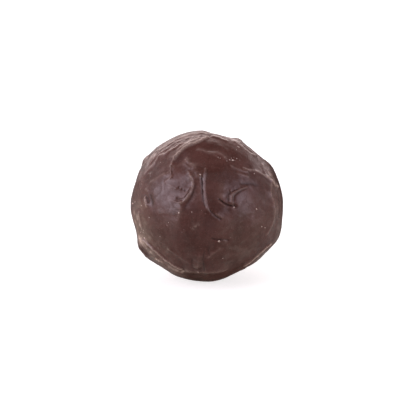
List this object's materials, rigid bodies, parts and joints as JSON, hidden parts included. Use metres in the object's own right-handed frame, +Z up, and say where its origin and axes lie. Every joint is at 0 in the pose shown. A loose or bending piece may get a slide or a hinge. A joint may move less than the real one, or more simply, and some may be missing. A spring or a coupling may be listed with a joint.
{
  "type": "hot chocolate sphere",
  "caption": "Dark chocolate ball with a creased, hand-wrapped coating and a small flat spot to rest on, for melting into a mug of hot milk.",
  "frame": {"origin": "middle of the ball's outline seen from above, on the flat spot it rests on", "axes": "+Z up; the creased face that the picture shows looks along -Y and a little up; +X is to the right of that face"},
  "size_m": [0.0402, 0.0402, 0.0394],
  "materials": {
    "dark_chocolate": "satin dark chocolate, warm brown with paler crests and specks"
  },
  "bodies": {
    "root": {"chocolate_ball": "dark_chocolate"}
  },
  "joints": []
}
